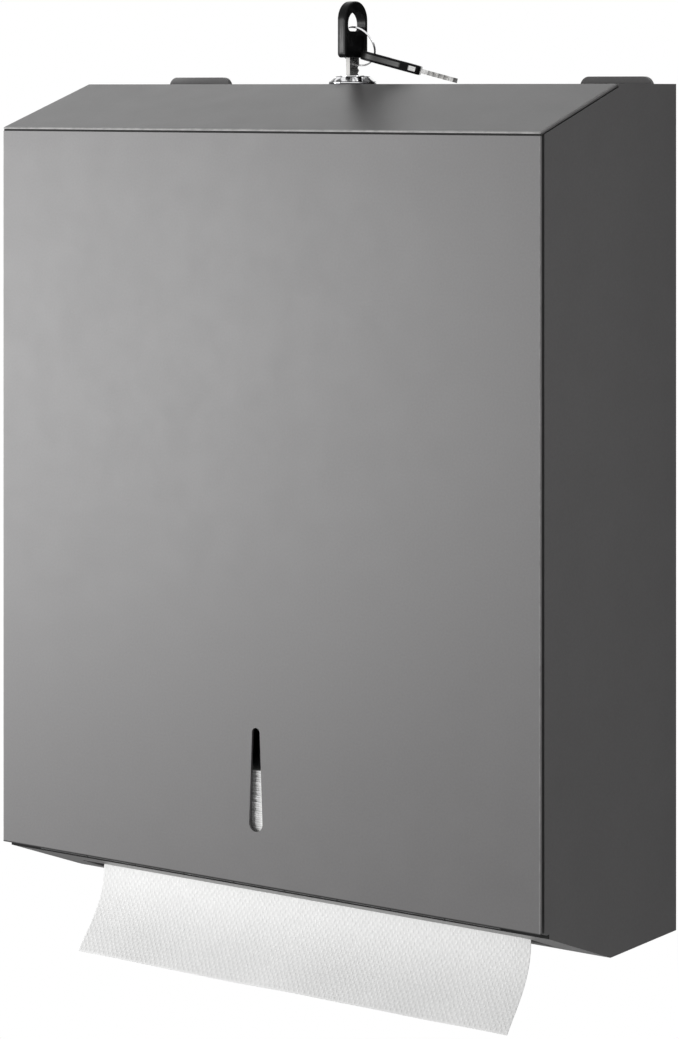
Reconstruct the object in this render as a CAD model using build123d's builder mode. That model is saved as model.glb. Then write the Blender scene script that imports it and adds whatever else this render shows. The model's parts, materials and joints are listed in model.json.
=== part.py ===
from build123d import *
import math
import os

os.makedirs("parts", exist_ok=True)

# Wall-hung dispenser for folded paper towels, in folded sheet steel, in millimetres.
# +X is to the right, +Y into the wall and +Z up. The origin is on the wall plane,
# in the middle of the four screw holes.

# Casing, measured over the sheet. The front stands between an upper and a lower slope.
casing_width = 280.0
casing_height = 356.0
casing_depth = 108.0
top_slope_depth = 59.0
bottom_slope_depth = 54.0
top_slope_rise = 19.1
bottom_slope_rise = 20.0
sheet = 1.2
weld_flange = 12.0
fold_relief = 4.0
jamb_width = 9.0
overrun = 10.0

# Wall screw holes in the back panel
mount_spacing_x = 180.0
mount_spacing_z = 190.0
mount_hole_radius = 3.0

# Two hemmed ears that stand above the top, behind it
ear_width = 35.2
ear_side_inset = 10.5
ear_rise = 3.2
ear_corner = 4.5
ear_root = 3.0
ear_clearance = 0.4

# Door: the front and the upper slope in one bent sheet
door_return = 2.4
door_foot = 0.5
door_gap = 0.6
door_bend = 0.9
door_edge_round = 0.5
return_inset = 1.6
brow_groove_height = 0.9
brow_groove_depth = 0.8
door_lip = 10.0
lip_end_clearance = 3.0
view_slot_foot = 22.9
view_slot_length = 43.5
view_slot_top_width = 4.0
view_slot_bottom_width = 7.0

# Piano hinge along the foot of the door
hinge_side_margin = 20.0
hinge_lift = 1.2
knuckle_count = 9
knuckle_radius = 2.0
knuckle_clearance = 0.3
knuckle_gap = 0.4
leaf_thickness = 0.8
leaf_height = 14.0
pin_radius = 1.0
pin_clearance = 0.05

# Rubber buttons on the jambs, which the closed door rests on
bumper_radius = 3.2
bumper_drop = 18.0
bumper_clearance = 0.3
bumper_round_share = 0.33

# Dispensing opening in the lower slope, with hemmed long edges
opening_side_margin = 22.0
opening_setback = 26.0
opening_width = 22.0
opening_corner = 4.0
opening_bead_radius = 1.4

# Cam lock through the top panel
lock_setback = 11.4
lock_flange_radius = 10.4
lock_flange_face_radius = 7.5
lock_flange_rim = 0.9
lock_flange_height = 3.4
lock_body_radius = 8.0
lock_body_flat = 7.0
lock_body_length = 18.0
lock_fit = 0.05
nut_across_flats = 19.0
nut_height = 4.0
lock_washer_radius = 9.8
lock_washer_thickness = 0.8
plug_radius = 5.6
plug_proud = 0.3
plug_tail_side = 7.0
cam_clearance = 0.4
cam_thickness = 2.0
cam_hub_radius = 7.2
cam_width = 12.0
cam_hook_thickness = 2.0
cam_hook_height = 7.0
cam_sweep_clearance = 0.6
cam_washer_radius = 5.4
cam_washer_thickness = 0.8
cam_screw_radius = 1.9
cam_screw_depth = 8.0
cam_screw_head_radius = 4.2
cam_screw_head_height = 2.4
screw_slot_width_share = 0.25
screw_slot_depth_share = 0.5
strike_width = 12.0
strike_thickness = 1.5
strike_clearance = 1.0
strike_rivet_radius = 1.2
strike_rivet_head_radius = 2.0
strike_rivet_head_height = 1.0
strike_rivet_spacing = 6.0

# Key: a steel blade in a moulded bow
blade_width = 7.0
blade_thickness = 2.0
blade_insert = 8.6
blade_show = 7.8
blade_root = 6.0
blade_tip_chamfer = 1.8
blade_cut_count = 4
blade_cut_pitch = 2.4
blade_cut_depth = 1.1
keyway_clearance = 0.15
bow_width = 16.8
bow_height = 24.6
spare_bow_height = 27.0
bow_thickness = 4.5
spare_bow_thickness = 4.0
bow_crown = 8.2
bow_foot_corner = 2.0
bow_bar = 4.6
bow_hole_width = 13.0
bow_hole_height = 8.5
spare_bow_bar = 3.7
spare_bow_hole_height = 9.4
bow_hole_crown = 5.4
bow_hole_corner = 2.0
bow_panel_width = 10.5
bow_panel_height = 7.0
bow_panel_round = 2.0
bow_panel_depth = 0.5
bow_edge_round = 0.6

# Ring through the holes of both bows. It leans back, and passes under the bow behind the blade.
ring_wire_radius = 0.5
ring_lean = 25.0
ring_shift = 1.7
ring_rise = 1.7
ring_drop = 3.2
ring_blade_clearance = 0.6

# Spare key, from the ring down to the top of the casing
spare_turn = 31.0
spare_hang = 38.0
spare_bar_clearance = 1.4
spare_rest_clearance = 0.4

# Folded towels, and the tail of the lowest one through the opening
towel_side_clearance = 5.5
stack_front_clearance = 2.0
stack_door_clearance = 0.5
stack_step_clearance = 2.0
stack_back_clearance = 4.0
stack_floor_clearance = 0.3
stack_height = 48.2
stack_sag = 5.0
stack_edge_round = 4.0
tail_thickness = 0.6
tail_setback = 37.0
tail_seat = 0.6
tail_cover = 7.7
tail_slit_clearance = 0.3
tail_straight = 5.0
tail_curl_radius = 36.0
tail_curl_angle = 58.0
tail_end_length = 5.0

# Places worked out from the sizes above
half_width = casing_width / 2
inner_half = half_width - sheet
hinge_length = casing_width - 2 * hinge_side_margin
opening_length = casing_width - 2 * opening_side_margin
towel_width = opening_length - 2 * towel_side_clearance
top_z = casing_height / 2
bottom_z = -top_z
front_y = -casing_depth
shoulder_y = front_y + top_slope_depth
heel_y = front_y + bottom_slope_depth
brow_z = top_z - top_slope_rise
sill_z = bottom_z + bottom_slope_rise
top_grade = top_slope_rise / top_slope_depth
bottom_grade = bottom_slope_rise / bottom_slope_depth
top_stretch = math.hypot(1, top_grade)
bottom_stretch = math.hypot(1, bottom_grade)
jamb_y = front_y + door_return + door_gap
hinge_y = front_y + sheet + knuckle_clearance + knuckle_radius
hinge_z = sill_z + hinge_lift
door_foot_z = sill_z + door_foot
curb_y = hinge_y + knuckle_radius + knuckle_clearance
lock_y = shoulder_y + lock_setback
lock_foot_z = top_z - lock_body_length
plug_foot_z = lock_foot_z - cam_clearance
cam_foot_z = plug_foot_z - cam_thickness
plug_face_z = top_z + lock_flange_height + plug_proud
ear_x = half_width - ear_side_inset - ear_width / 2
ear_thickness = 2 * sheet


def roof_z(y, inset):
    """Height of the upper slope at y, moved in by inset from its outer face."""
    return brow_z + (y - front_y) * top_grade - inset * top_stretch


def roof_y(z, inset):
    """Where the upper slope, moved in by inset, reaches height z."""
    return front_y + (z - brow_z + inset * top_stretch) / top_grade


def floor_z(y, inset):
    """Height of the lower slope at y, moved in by inset from its outer face."""
    return sill_z - (y - front_y) * bottom_grade + inset * bottom_stretch


def floor_y(z, inset):
    """Where the lower slope, moved in by inset, reaches height z."""
    return front_y + (sill_z - z + inset * bottom_stretch) / bottom_grade


def slab(x_ends, y_ends, z_ends, mode=Mode.ADD):
    """A box between two places along each axis, in the part being built."""
    middle = [(a + b) / 2 for a, b in (x_ends, y_ends, z_ends)]
    sizes = [abs(b - a) for a, b in (x_ends, y_ends, z_ends)]
    with Locations(tuple(middle)):
        Box(*sizes, mode=mode)


def rod_x(radius, x_ends, y, z, mode=Mode.ADD):
    """A round bar along X, in the part being built."""
    with Locations(((x_ends[0] + x_ends[1]) / 2, y, z)):
        Cylinder(radius, abs(x_ends[1] - x_ends[0]), rotation=(0, 90, 0), mode=mode)


def rod_z(radius, z_ends, x, y, mode=Mode.ADD):
    """An upright round bar, in the part being built."""
    with Locations((x, y, (z_ends[0] + z_ends[1]) / 2)):
        Cylinder(radius, abs(z_ends[1] - z_ends[0]), mode=mode)


# Back panel: a flat sheet between the sides, with the screw holes and the two hemmed ears
back_height = casing_height - 2 * sheet
with BuildPart() as back_panel:
    with BuildSketch(Plane.XZ):
        Rectangle(2 * inner_half, back_height)
        with GridLocations(mount_spacing_x, mount_spacing_z, 2, 2):
            Circle(mount_hole_radius, mode=Mode.SUBTRACT)
    extrude(amount=sheet)
    ear_foot_z = top_z - sheet - ear_root
    ear_top_z = top_z + ear_rise
    with BuildSketch(Plane.XZ) as ear_outline:
        with Locations((-ear_x, (ear_foot_z + ear_top_z) / 2), (ear_x, (ear_foot_z + ear_top_z) / 2)):
            Rectangle(ear_width, ear_top_z - ear_foot_z)
        fillet(ear_outline.vertices().group_by(Axis.Y)[-1], ear_corner)
    extrude(amount=ear_thickness)
back_panel.part.label = "back_panel"
export_step(back_panel.part, "parts/back_panel.step")

# Side panels: flat plates under the slopes, with flanges at the back, top and bottom
# and a jamb at the front
side_roof_inset = sheet + door_gap
side_outline = [
    (0, bottom_z + sheet),
    (floor_y(bottom_z + sheet, sheet), bottom_z + sheet),
    (jamb_y, floor_z(jamb_y, sheet)),
    (jamb_y, roof_z(jamb_y, side_roof_inset)),
    (roof_y(top_z - sheet, side_roof_inset), top_z - sheet),
    (0, top_z - sheet),
]
jamb_foot_z = hinge_z + leaf_height + fold_relief
jamb_top_z = roof_z(jamb_y, side_roof_inset) - fold_relief
flange_ends = (inner_half - weld_flange, inner_half)
top_flange_front_y = roof_y(top_z - sheet, side_roof_inset) + fold_relief
bottom_flange_front_y = floor_y(bottom_z + sheet, sheet) + fold_relief
flange_back_y = -ear_thickness - fold_relief
back_flange_top_z = top_z - sheet - ear_root - fold_relief
back_flange_foot_z = bottom_z + sheet + fold_relief
with BuildPart() as right_side_panel:
    with BuildSketch(Plane.YZ.offset(inner_half)):
        Polygon(*side_outline, align=None)
    extrude(amount=sheet)
    slab(flange_ends, (-2 * sheet, -sheet), (back_flange_foot_z, back_flange_top_z))
    slab(flange_ends, (top_flange_front_y, flange_back_y), (top_z - 2 * sheet, top_z - sheet))
    slab(flange_ends, (bottom_flange_front_y, flange_back_y), (bottom_z + sheet, bottom_z + 2 * sheet))
    slab((inner_half - jamb_width, inner_half), (jamb_y, jamb_y + sheet), (jamb_foot_z, jamb_top_z))
right_side_panel.part.label = "right_side_panel"
export_step(right_side_panel.part, "parts/right_side_panel.step")

with BuildPart() as left_side_panel:
    mirror(right_side_panel.part, about=Plane.YZ)
left_side_panel.part.label = "left_side_panel"
export_step(left_side_panel.part, "parts/left_side_panel.step")

# Top panel: a flat plate with the lock's hole and a notch for each ear
top_front_y = shoulder_y + door_gap
with BuildPart() as top_panel:
    slab((-half_width, half_width), (top_front_y, 0), (top_z - sheet, top_z))
    for side in (-1, 1):
        notch_half = ear_width / 2 + ear_clearance
        slab(
            (side * ear_x - notch_half, side * ear_x + notch_half),
            (-ear_thickness - ear_clearance, overrun),
            (top_z - sheet - overrun, top_z + overrun),
            mode=Mode.SUBTRACT,
        )
    with BuildSketch(Plane.XY.offset(top_z)):
        with Locations((0, lock_y)):
            Circle(lock_body_radius + lock_fit)
            Rectangle(
                2 * (lock_body_flat + lock_fit),
                2 * (lock_body_radius + lock_fit),
                mode=Mode.INTERSECT,
            )
    extrude(amount=-sheet, mode=Mode.SUBTRACT)
top_panel.part.label = "top_panel"
export_step(top_panel.part, "parts/top_panel.step")

# Bottom panel: flat at the back, sloping up to a curb that carries the hinge,
# with the dispensing opening
bottom_outline = [
    (0, bottom_z),
    (heel_y, bottom_z),
    (curb_y, floor_z(curb_y, 0)),
    (curb_y, floor_z(curb_y, sheet)),
    (floor_y(bottom_z + sheet, sheet), bottom_z + sheet),
    (0, bottom_z + sheet),
]
opening_front_y = front_y + opening_setback
opening_back_y = opening_front_y + opening_width
bead_half = opening_length / 2 - opening_corner
with BuildPart() as bottom_panel:
    with BuildSketch(Plane.YZ):
        Polygon(*bottom_outline, align=None)
    extrude(amount=half_width, both=True)
    slab(
        (-hinge_length / 2, hinge_length / 2),
        (curb_y, curb_y + sheet),
        (floor_z(curb_y, 0), hinge_z + leaf_height),
    )
    with BuildSketch(Plane.XY.offset(bottom_z - overrun)):
        with Locations((0, (opening_front_y + opening_back_y) / 2)):
            RectangleRounded(opening_length, opening_width, opening_corner)
    extrude(amount=bottom_slope_rise + overrun, mode=Mode.SUBTRACT)
    for bead_y in (opening_front_y, opening_back_y):
        rod_x(
            opening_bead_radius,
            (-bead_half, bead_half),
            bead_y,
            floor_z(bead_y, opening_bead_radius),
        )
bottom_panel.part.label = "bottom_panel"
export_step(bottom_panel.part, "parts/bottom_panel.step")

# Door: bent sheet with a groove under the upper bend, inset returns down both sides
# and a lip behind the slope
door_outline = [
    (front_y, door_foot_z),
    (front_y, brow_z),
    (shoulder_y, top_z),
    (shoulder_y, roof_z(shoulder_y, sheet)),
    (front_y + sheet, roof_z(front_y + sheet, sheet)),
    (front_y + sheet, door_foot_z),
]
return_top_z = brow_z - door_bend - brow_groove_height
return_outline = [
    (front_y + brow_groove_depth, door_foot_z),
    (front_y + brow_groove_depth, return_top_z),
    (front_y + door_return, roof_z(front_y + door_return, sheet / 2)),
    (front_y + door_return, door_foot_z),
]
bend_foot_z = brow_z - door_bend * math.tan((math.pi / 2 - math.atan(top_grade)) / 2)
lip_half = inner_half - lip_end_clearance
view_slot_low_z = sill_z + view_slot_foot + view_slot_bottom_width / 2
view_slot_high_z = sill_z + view_slot_foot + view_slot_length - view_slot_top_width / 2
front_plane = Plane(origin=(0, front_y, 0), x_dir=(1, 0, 0), z_dir=(0, -1, 0))
lip_back_plane = Plane(origin=(0, shoulder_y, 0), x_dir=(1, 0, 0), z_dir=(0, -1, 0))
rivet_z = top_z - door_lip + strike_rivet_head_radius + strike_clearance / 2
rivet_places = [(-strike_rivet_spacing / 2, rivet_z), (strike_rivet_spacing / 2, rivet_z)]
with BuildPart() as front_door:
    with BuildSketch(Plane.YZ) as door_profile:
        Polygon(*door_outline, align=None)
        brow_corner = door_profile.vertices().sort_by_distance((front_y, brow_z, 0))[0]
        fillet(brow_corner, door_bend)
    extrude(amount=half_width, both=True)
    side_edges = []
    for side in (-1, 1):
        side_x = side * half_width
        slope_middle = (side_x, (front_y + shoulder_y) / 2, (brow_z + top_z) / 2)
        for place in ((side_x, front_y, 0), (side_x, front_y, brow_z), slope_middle):
            side_edges.append(front_door.edges().sort_by_distance(place)[0])
    fillet(side_edges, door_edge_round)
    slab(
        (-half_width - overrun, half_width + overrun),
        (front_y - overrun, front_y + brow_groove_depth),
        (bend_foot_z - brow_groove_height, bend_foot_z),
        mode=Mode.SUBTRACT,
    )
    for return_x in (half_width - return_inset - sheet, return_inset - half_width):
        with BuildSketch(Plane.YZ.offset(return_x)):
            Polygon(*return_outline, align=None)
        extrude(amount=sheet)
    slab(
        (-lip_half, lip_half),
        (shoulder_y - sheet, shoulder_y),
        (top_z - door_lip, roof_z(shoulder_y, sheet)),
    )
    with BuildSketch(front_plane) as view_slot:
        with Locations((0, view_slot_low_z)):
            Circle(view_slot_bottom_width / 2)
        with Locations((0, view_slot_high_z)):
            Circle(view_slot_top_width / 2)
        make_hull()
    extrude(amount=-2 * sheet, mode=Mode.SUBTRACT)
    with BuildSketch(lip_back_plane):
        with Locations(*rivet_places):
            Circle(strike_rivet_radius)
    extrude(amount=sheet, mode=Mode.SUBTRACT)
front_door.part.label = "front_door"
export_step(front_door.part, "parts/front_door.step")

# Piano hinge: two leaves with interleaved knuckles on one pin
knuckle_pitch = hinge_length / knuckle_count
bore_ends = (-hinge_length / 2 - overrun, hinge_length / 2 + overrun)
leaf_foot_z = hinge_z + knuckle_radius + knuckle_gap
leaf_top_z = hinge_z + leaf_height
door_leaf_y = (front_y + sheet, front_y + sheet + leaf_thickness)
fixed_leaf_y = (curb_y - leaf_thickness, curb_y)
door_knuckles = range(1, knuckle_count, 2)
fixed_knuckles = range(0, knuckle_count, 2)


def knuckle_ends(index):
    """The two ends of one knuckle along X, with half a gap left at each."""
    start = -hinge_length / 2 + index * knuckle_pitch
    return (start + knuckle_gap / 2, start + knuckle_pitch - knuckle_gap / 2)


with BuildPart() as hinge_door_leaf:
    slab((-hinge_length / 2, hinge_length / 2), door_leaf_y, (leaf_foot_z, leaf_top_z))
    for index in door_knuckles:
        slab(knuckle_ends(index), door_leaf_y, (hinge_z, leaf_foot_z))
        rod_x(knuckle_radius, knuckle_ends(index), hinge_y, hinge_z)
    rod_x(pin_radius + pin_clearance, bore_ends, hinge_y, hinge_z, mode=Mode.SUBTRACT)
hinge_door_leaf.part.label = "hinge_door_leaf"
export_step(hinge_door_leaf.part, "parts/hinge_door_leaf.step")

with BuildPart() as hinge_fixed_leaf:
    slab((-hinge_length / 2, hinge_length / 2), fixed_leaf_y, (leaf_foot_z, leaf_top_z))
    for index in fixed_knuckles:
        slab(knuckle_ends(index), fixed_leaf_y, (hinge_z, leaf_foot_z))
        rod_x(knuckle_radius, knuckle_ends(index), hinge_y, hinge_z)
    rod_x(pin_radius + pin_clearance, bore_ends, hinge_y, hinge_z, mode=Mode.SUBTRACT)
hinge_fixed_leaf.part.label = "hinge_fixed_leaf"
export_step(hinge_fixed_leaf.part, "parts/hinge_fixed_leaf.step")

with BuildPart() as hinge_pin:
    rod_x(pin_radius, (-hinge_length / 2, hinge_length / 2), hinge_y, hinge_z)
hinge_pin.part.label = "hinge_pin"
export_step(hinge_pin.part, "parts/hinge_pin.step")

# Door bumpers: a rubber button on each jamb
bumper_x = half_width - return_inset - sheet - 2 * bumper_clearance - bumper_radius
bumper_z = jamb_top_z - bumper_drop
bumper_height = jamb_y - (front_y + sheet) - bumper_clearance
jamb_plane = Plane(origin=(0, jamb_y, 0), x_dir=(1, 0, 0), z_dir=(0, -1, 0))
with BuildPart() as door_bumpers:
    with BuildSketch(jamb_plane):
        with Locations((-bumper_x, bumper_z), (bumper_x, bumper_z)):
            Circle(bumper_radius)
    extrude(amount=bumper_height)
    bumper_rims = door_bumpers.edges().filter_by(GeomType.CIRCLE).group_by(Axis.Y)[0]
    fillet(bumper_rims, bumper_height * bumper_round_share)
door_bumpers.part.label = "door_bumpers"
export_step(door_bumpers.part, "parts/door_bumpers.step")

# Lock housing: a bevelled flange on the top panel and a flatted body through it
flange_profile = [
    (0, 0),
    (lock_flange_radius, 0),
    (lock_flange_radius, lock_flange_rim),
    (lock_flange_face_radius, lock_flange_height),
    (0, lock_flange_height),
]
with BuildPart() as lock_housing:
    with BuildSketch(Plane.XY.offset(lock_foot_z)):
        with Locations((0, lock_y)):
            Circle(lock_body_radius)
            Rectangle(2 * lock_body_flat, 2 * lock_body_radius, mode=Mode.INTERSECT)
    extrude(amount=lock_body_length)
    with BuildSketch(Plane(origin=(0, lock_y, top_z), x_dir=(1, 0, 0), z_dir=(0, -1, 0))):
        Polygon(*flange_profile, align=None)
    revolve(axis=Axis((0, lock_y, 0), (0, 0, 1)))
    rod_z(
        plug_radius + lock_fit,
        (lock_foot_z - overrun, plug_face_z + overrun),
        0,
        lock_y,
        mode=Mode.SUBTRACT,
    )
lock_housing.part.label = "lock_housing"
export_step(lock_housing.part, "parts/lock_housing.step")

# Lock washer and nut, under the top panel
washer_foot_z = top_z - sheet - lock_washer_thickness
nut_foot_z = washer_foot_z - nut_height
with BuildPart() as lock_washer:
    rod_z(lock_washer_radius, (washer_foot_z, washer_foot_z + lock_washer_thickness), 0, lock_y)
    rod_z(lock_body_radius + lock_fit, (washer_foot_z - overrun, top_z), 0, lock_y, mode=Mode.SUBTRACT)
lock_washer.part.label = "lock_washer"
export_step(lock_washer.part, "parts/lock_washer.step")

with BuildPart() as lock_nut:
    with BuildSketch(Plane.XY.offset(nut_foot_z)):
        with Locations((0, lock_y)):
            RegularPolygon(nut_across_flats / 2, 6, major_radius=False)
            Circle(lock_body_radius + lock_fit, mode=Mode.SUBTRACT)
    extrude(amount=nut_height)
lock_nut.part.label = "lock_nut"
export_step(lock_nut.part, "parts/lock_nut.step")

# Lock plug: the turning core, with the keyway above and a square tail for the cam below
keyway_width = blade_width + 2 * keyway_clearance
keyway_thickness = blade_thickness + 2 * keyway_clearance
keyway_foot_z = plug_face_z - blade_insert - keyway_clearance
with BuildPart() as lock_plug:
    rod_z(plug_radius, (plug_foot_z, plug_face_z), 0, lock_y)
    tail_half = plug_tail_side / 2
    slab((-tail_half, tail_half), (lock_y - tail_half, lock_y + tail_half), (cam_foot_z, plug_foot_z))
    slab(
        (-keyway_thickness / 2, keyway_thickness / 2),
        (lock_y - keyway_width / 2, lock_y + keyway_width / 2),
        (keyway_foot_z, plug_face_z + overrun),
        mode=Mode.SUBTRACT,
    )
    rod_z(
        cam_screw_radius + lock_fit,
        (cam_foot_z - overrun, cam_foot_z + cam_screw_depth),
        0,
        lock_y,
        mode=Mode.SUBTRACT,
    )
lock_plug.part.label = "lock_plug"
export_step(lock_plug.part, "parts/lock_plug.step")

# Strike: a plate on the front of the door's lip. The cam's hook comes round its corners.
strike_front_y = shoulder_y - sheet - strike_thickness
strike_foot_z = plug_foot_z + strike_clearance
strike_top_z = roof_z(strike_front_y, sheet) - strike_clearance
lip_front_plane = Plane(origin=(0, shoulder_y - sheet, 0), x_dir=(1, 0, 0), z_dir=(0, -1, 0))
with BuildPart() as lock_strike:
    with BuildSketch(lip_front_plane):
        with Locations((0, (strike_foot_z + strike_top_z) / 2)):
            Rectangle(strike_width, strike_top_z - strike_foot_z)
        with Locations(*rivet_places):
            Circle(strike_rivet_radius, mode=Mode.SUBTRACT)
    extrude(amount=strike_thickness)
lock_strike.part.label = "lock_strike"
export_step(lock_strike.part, "parts/lock_strike.step")

# Rivets through the strike and the lip
strike_front_plane = Plane(origin=(0, strike_front_y, 0), x_dir=(1, 0, 0), z_dir=(0, -1, 0))
with BuildPart() as strike_rivets:
    with BuildSketch(lip_back_plane):
        with Locations(*rivet_places):
            Circle(strike_rivet_radius)
    extrude(amount=sheet + strike_thickness)
    with BuildSketch(lip_back_plane):
        with Locations(*rivet_places):
            Circle(strike_rivet_head_radius)
    extrude(amount=-strike_rivet_head_height)
    with BuildSketch(strike_front_plane):
        with Locations(*rivet_places):
            Circle(strike_rivet_head_radius)
    extrude(amount=strike_rivet_head_height)
strike_rivets.part.label = "strike_rivets"
export_step(strike_rivets.part, "parts/strike_rivets.step")

# Cam: an arm with an upturned hook. Open, it points to the right. A quarter turn takes it to the front.
strike_corner_radius = math.hypot(strike_width / 2, lock_y - strike_front_y + strike_rivet_head_height)
cam_hook_x = strike_corner_radius + cam_sweep_clearance
cam_reach = cam_hook_x + cam_hook_thickness
with BuildPart() as lock_cam:
    with BuildSketch(Plane.XY.offset(cam_foot_z)):
        with Locations((0, lock_y)):
            Circle(cam_hub_radius)
        with Locations((cam_reach / 2, lock_y)):
            Rectangle(cam_reach, cam_width)
        with Locations((0, lock_y)):
            Rectangle(plug_tail_side + 2 * lock_fit, plug_tail_side + 2 * lock_fit, mode=Mode.SUBTRACT)
    extrude(amount=cam_thickness)
    slab(
        (cam_hook_x, cam_reach),
        (lock_y - cam_width / 2, lock_y + cam_width / 2),
        (cam_foot_z, plug_foot_z + cam_hook_height),
    )
lock_cam.part.label = "lock_cam"
export_step(lock_cam.part, "parts/lock_cam.step")

# Washer and screw that hold the cam on the plug
with BuildPart() as cam_washer:
    rod_z(cam_washer_radius, (cam_foot_z - cam_washer_thickness, cam_foot_z), 0, lock_y)
    rod_z(
        cam_screw_radius + lock_fit,
        (cam_foot_z - overrun, cam_foot_z + overrun),
        0,
        lock_y,
        mode=Mode.SUBTRACT,
    )
cam_washer.part.label = "cam_washer"
export_step(cam_washer.part, "parts/cam_washer.step")

screw_seat_z = cam_foot_z - cam_washer_thickness
screw_slot_width = cam_screw_head_radius * screw_slot_width_share
with BuildPart() as cam_screw:
    rod_z(cam_screw_radius, (screw_seat_z, cam_foot_z + cam_screw_depth - lock_fit), 0, lock_y)
    rod_z(cam_screw_head_radius, (screw_seat_z - cam_screw_head_height, screw_seat_z), 0, lock_y)
    slab(
        (-screw_slot_width / 2, screw_slot_width / 2),
        (lock_y - overrun, lock_y + overrun),
        (screw_seat_z - overrun, screw_seat_z - cam_screw_head_height * (1 - screw_slot_depth_share)),
        mode=Mode.SUBTRACT,
    )
cam_screw.part.label = "cam_screw"
export_step(cam_screw.part, "parts/cam_screw.step")

# Key planes: local X across the key, local Y from the foot of the bow to its crown
key_foot_z = plug_face_z + blade_show
key_plane = Plane(origin=(0, lock_y, key_foot_z), x_dir=(0, 1, 0), z_dir=(1, 0, 0))

# The ring lies in a plane along X that leans back from the hole of the bow.
lean = math.radians(ring_lean)
ring_down = Vector(0, math.sin(lean), -math.cos(lean))
hole_foot_z = key_foot_z + bow_height - bow_bar - bow_hole_height
ring_high_z = hole_foot_z + ring_rise
ring_low_z = key_foot_z - ring_drop
ring_low_y = lock_y + blade_width / 2 + ring_wire_radius + ring_blade_clearance
ring_half_chord = (ring_high_z - ring_low_z) / 2 / math.cos(lean)
ring_radius = math.hypot(ring_half_chord, ring_shift)
ring_centre = Vector(ring_shift, ring_low_y, ring_low_z) - ring_down * ring_half_chord
ring_high_y = ring_low_y - 2 * ring_half_chord * math.sin(lean)

# The spare key hangs from the ring's right side, and its tip lies just over the top panel.
blade_out = blade_show + blade_insert
hang = math.radians(spare_hang)
spare_side = Vector(1, 0, 0) * math.cos(hang) + ring_down * math.sin(hang)
spare_pivot = ring_centre + spare_side * ring_radius
spare_bow_reach = spare_bow_height - spare_bow_bar - ring_wire_radius - spare_bar_clearance
spare_tip_z = top_z + spare_rest_clearance + blade_thickness / 2
spare_dip = math.asin((spare_pivot.Z - spare_tip_z) / (spare_bow_reach + blade_out))
turn = math.radians(spare_turn)
along = Vector(math.cos(turn), math.sin(turn), 0)
across = Vector(-math.sin(turn), math.cos(turn), 0)
spare_way = along * math.cos(spare_dip) - Vector(0, 0, math.sin(spare_dip))
spare_normal = along * math.sin(spare_dip) + Vector(0, 0, math.cos(spare_dip))
spare_plane = Plane(
    origin=spare_pivot + spare_way * spare_bow_reach,
    x_dir=across,
    z_dir=spare_normal,
)


def make_bow(plane, height, thickness, bar, hole_height):
    """The moulded bow on a key's plane: an arch with a hole for the ring and a socket for the blade."""
    hole_middle = height - bar - hole_height / 2
    with BuildPart() as bow:
        with BuildSketch(plane) as outline:
            with Locations((0, height / 2)):
                Rectangle(bow_width, height)
            low_corners = outline.vertices().group_by(Axis.Y)[0]
            fillet(low_corners, bow_foot_corner)
            high_corners = outline.vertices().group_by(Axis.Y)[-1]
            fillet(high_corners, bow_crown)
        extrude(amount=thickness / 2, both=True)
        rims = bow.faces().sort_by(Axis(plane.origin, plane.z_dir))
        fillet(rims[0].edges() + rims[-1].edges(), bow_edge_round)
        with BuildSketch(plane) as hole:
            with Locations((0, hole_middle)):
                Rectangle(bow_hole_width, hole_height)
            low_hole_corners = hole.vertices().group_by(Axis.Y)[0]
            fillet(low_hole_corners, bow_hole_corner)
            high_hole_corners = hole.vertices().group_by(Axis.Y)[-1]
            fillet(high_hole_corners, bow_hole_crown)
        extrude(amount=thickness, both=True, mode=Mode.SUBTRACT)
        for face_side in (-1, 1):
            face_plane = plane.offset(face_side * thickness / 2)
            with BuildSketch(face_plane):
                with Locations((0, blade_root)):
                    RectangleRounded(bow_panel_width, bow_panel_height, bow_panel_round)
            extrude(amount=-face_side * bow_panel_depth, mode=Mode.SUBTRACT)
        with BuildSketch(plane):
            with Locations((0, blade_root / 2)):
                Rectangle(blade_width + 2 * lock_fit, blade_root + 2 * lock_fit)
        extrude(amount=blade_thickness / 2 + lock_fit, both=True, mode=Mode.SUBTRACT)
    return bow.part


def make_blade(plane, cut_side):
    """The steel blade on a key's plane, with a pointed tip and its cuts along the edge on one side."""
    with BuildPart() as blade:
        with BuildSketch(plane) as outline:
            with Locations((0, (blade_root - blade_out) / 2)):
                Rectangle(blade_width, blade_root + blade_out)
            tip_corners = outline.vertices().group_by(Axis.Y)[0]
            chamfer(tip_corners, blade_tip_chamfer)
            for index in range(blade_cut_count):
                cut_y = -blade_out + 2 * blade_cut_pitch + index * blade_cut_pitch
                with BuildLine():
                    Polyline(
                        (cut_side * blade_width / 2, cut_y - blade_cut_pitch / 2),
                        (cut_side * (blade_width / 2 - blade_cut_depth), cut_y),
                        (cut_side * blade_width / 2, cut_y + blade_cut_pitch / 2),
                        close=True,
                    )
                make_face(mode=Mode.SUBTRACT)
        extrude(amount=blade_thickness / 2, both=True)
    return blade.part


with BuildPart() as key_bow:
    add(make_bow(key_plane, bow_height, bow_thickness, bow_bar, bow_hole_height))
key_bow.part.label = "key_bow"
export_step(key_bow.part, "parts/key_bow.step")

with BuildPart() as key_blade:
    add(make_blade(key_plane, 1))
key_blade.part.label = "key_blade"
export_step(key_blade.part, "parts/key_blade.step")

with BuildPart() as spare_key_bow:
    add(make_bow(spare_plane, spare_bow_height, spare_bow_thickness, spare_bow_bar, spare_bow_hole_height))
spare_key_bow.part.label = "spare_key_bow"
export_step(spare_key_bow.part, "parts/spare_key_bow.step")

with BuildPart() as spare_key_blade:
    add(make_blade(spare_plane, -1))
spare_key_blade.part.label = "spare_key_blade"
export_step(spare_key_blade.part, "parts/spare_key_blade.step")

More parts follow.
